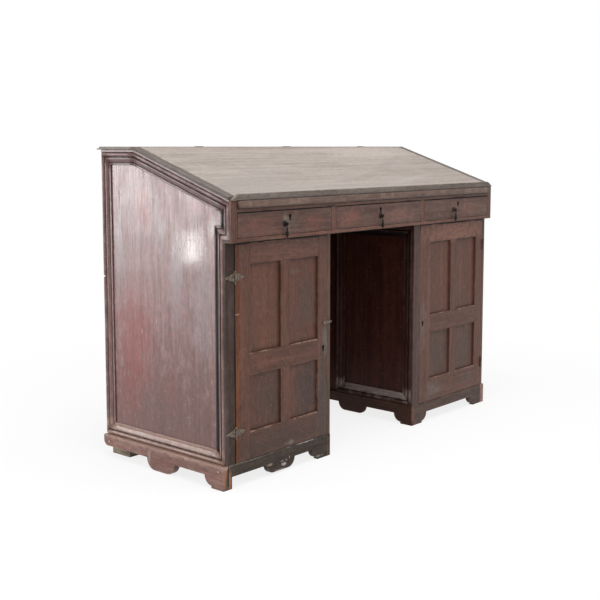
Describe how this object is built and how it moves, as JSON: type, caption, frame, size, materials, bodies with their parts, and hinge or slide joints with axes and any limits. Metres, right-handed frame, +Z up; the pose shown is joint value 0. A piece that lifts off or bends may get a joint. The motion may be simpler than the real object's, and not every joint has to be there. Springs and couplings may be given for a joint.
{
  "type": "standing desk",
  "caption": "Clerk's standing desk with a sloping lift-up writing lid over a well, a row of frieze drawers and two panelled cupboard pedestals on scrolled plinths.",
  "frame": {"origin": "middle of the plan at floor level", "axes": "+X along the front to the right, +Y from the front to the back, +Z up"},
  "size_m": [1.678, 0.7137, 1.1715],
  "materials": {
    "stained_wood": "worn satin polish",
    "grey_top": "faded, dull",
    "apron_wood": "scuffed",
    "pine": "bare, dry",
    "lipping_wood": "satin",
    "brass": "dull, tarnished",
    "iron": "dark patina"
  },
  "bodies": {
    "desk": {"back_boards": "pine", "cupboard_floors": "pine", "cupboard_shelves": "pine", "drawer_deck": "pine", "drawer_dividers": "stained_wood", "foot_blocks": "pine", "frieze_bottom_rail": "stained_wood", "frieze_stiles": "stained_wood", "frieze_top_rail": "stained_wood", "kneehole_plinths": "apron_wood", "ledge_bearer": "stained_wood", "ledge_board": "grey_top", "left_front_plinth": "apron_wood", "left_hinge_bases": "brass", "left_hinge_post": "stained_wood", "left_kneehole_board": "stained_wood", "left_kneehole_moulding": "stained_wood", "left_side_board": "stained_wood", "left_side_cap": "grey_top", "left_side_moulding": "stained_wood", "left_side_plinth": "apron_wood", "lid_hinge_bases": "iron", "narrow_posts": "stained_wood", "right_front_plinth": "apron_wood", "right_hinge_bases": "iron", "right_kneehole_board": "stained_wood", "right_kneehole_moulding": "stained_wood", "right_lock_post": "stained_wood", "right_side_board": "stained_wood", "right_side_cap": "grey_top", "right_side_moulding": "stained_wood", "right_side_plinth": "apron_wood", "well_floor": "pine"},
    "lid": {"lid_battens": "pine", "lid_board": "grey_top", "lid_hinge_leaves": "iron", "lid_lip": "stained_wood", "lid_ovolo": "stained_wood"},
    "left_drawer": {"left_drawer_front": "stained_wood", "left_drawer_box": "pine", "left_drawer_ironwork": "iron"},
    "left_drawer_pull": {"left_drawer_pendant": "iron"},
    "middle_drawer": {"middle_drawer_front": "stained_wood", "middle_drawer_box": "pine", "middle_drawer_ironwork": "iron"},
    "middle_drawer_pull": {"middle_drawer_pendant": "iron"},
    "right_drawer": {"right_drawer_front": "stained_wood", "right_drawer_box": "pine", "right_drawer_ironwork": "iron"},
    "right_drawer_pull": {"right_drawer_pendant": "iron"},
    "left_door": {"left_door_frame": "stained_wood", "left_door_panels": "stained_wood", "left_door_lipping": "lipping_wood", "left_door_lock": "iron", "left_hinge_leaves": "brass"},
    "left_button": {"left_door_button": "brass"},
    "right_door": {"right_door_frame": "stained_wood", "right_door_panels": "stained_wood", "right_door_lock": "iron", "right_hinge_leaves": "iron"}
  },
  "joints": [
    {"name": "lid_hinge", "type": "hinge", "parent": "desk", "child": "lid", "pos_m": [0, 0.1533, 1.17], "axis": [-1, 0, 0], "range_deg": [0, 105]},
    {"name": "left_door_hinge", "type": "hinge", "parent": "desk", "child": "left_door", "pos_m": [-0.77825, -0.3132, 0.46], "axis": [0, 0, -1], "range_deg": [0, 170]},
    {"name": "right_door_hinge", "type": "hinge", "parent": "desk", "child": "right_door", "pos_m": [0.8048, -0.3132, 0.46], "axis": [0, 0, 1], "range_deg": [0, 170]},
    {"name": "left_button_pivot", "type": "hinge", "parent": "left_door", "child": "left_button", "pos_m": [-0.3105, -0.31, 0.517], "axis": [0, -1, 0], "range_deg": [0, 90]},
    {"name": "left_drawer_slide", "type": "slide", "parent": "desk", "child": "left_drawer", "axis": [0, -1, 0], "range_m": [0, 0.4]},
    {"name": "left_drawer_pull_pivot", "type": "hinge", "parent": "left_drawer", "child": "left_drawer_pull", "pos_m": [-0.55745, -0.3505, 0.902], "axis": [-1, 0, 0], "range_deg": [0, 95]},
    {"name": "middle_drawer_slide", "type": "slide", "parent": "desk", "child": "middle_drawer", "axis": [0, -1, 0], "range_m": [0, 0.4]},
    {"name": "middle_drawer_pull_pivot", "type": "hinge", "parent": "middle_drawer", "child": "middle_drawer_pull", "pos_m": [0, -0.3505, 0.902], "axis": [-1, 0, 0], "range_deg": [0, 95]},
    {"name": "right_drawer_slide", "type": "slide", "parent": "desk", "child": "right_drawer", "axis": [0, -1, 0], "range_m": [0, 0.4]},
    {"name": "right_drawer_pull_pivot", "type": "hinge", "parent": "right_drawer", "child": "right_drawer_pull", "pos_m": [0.52045, -0.3505, 0.902], "axis": [-1, 0, 0], "range_deg": [0, 95]}
  ]
}
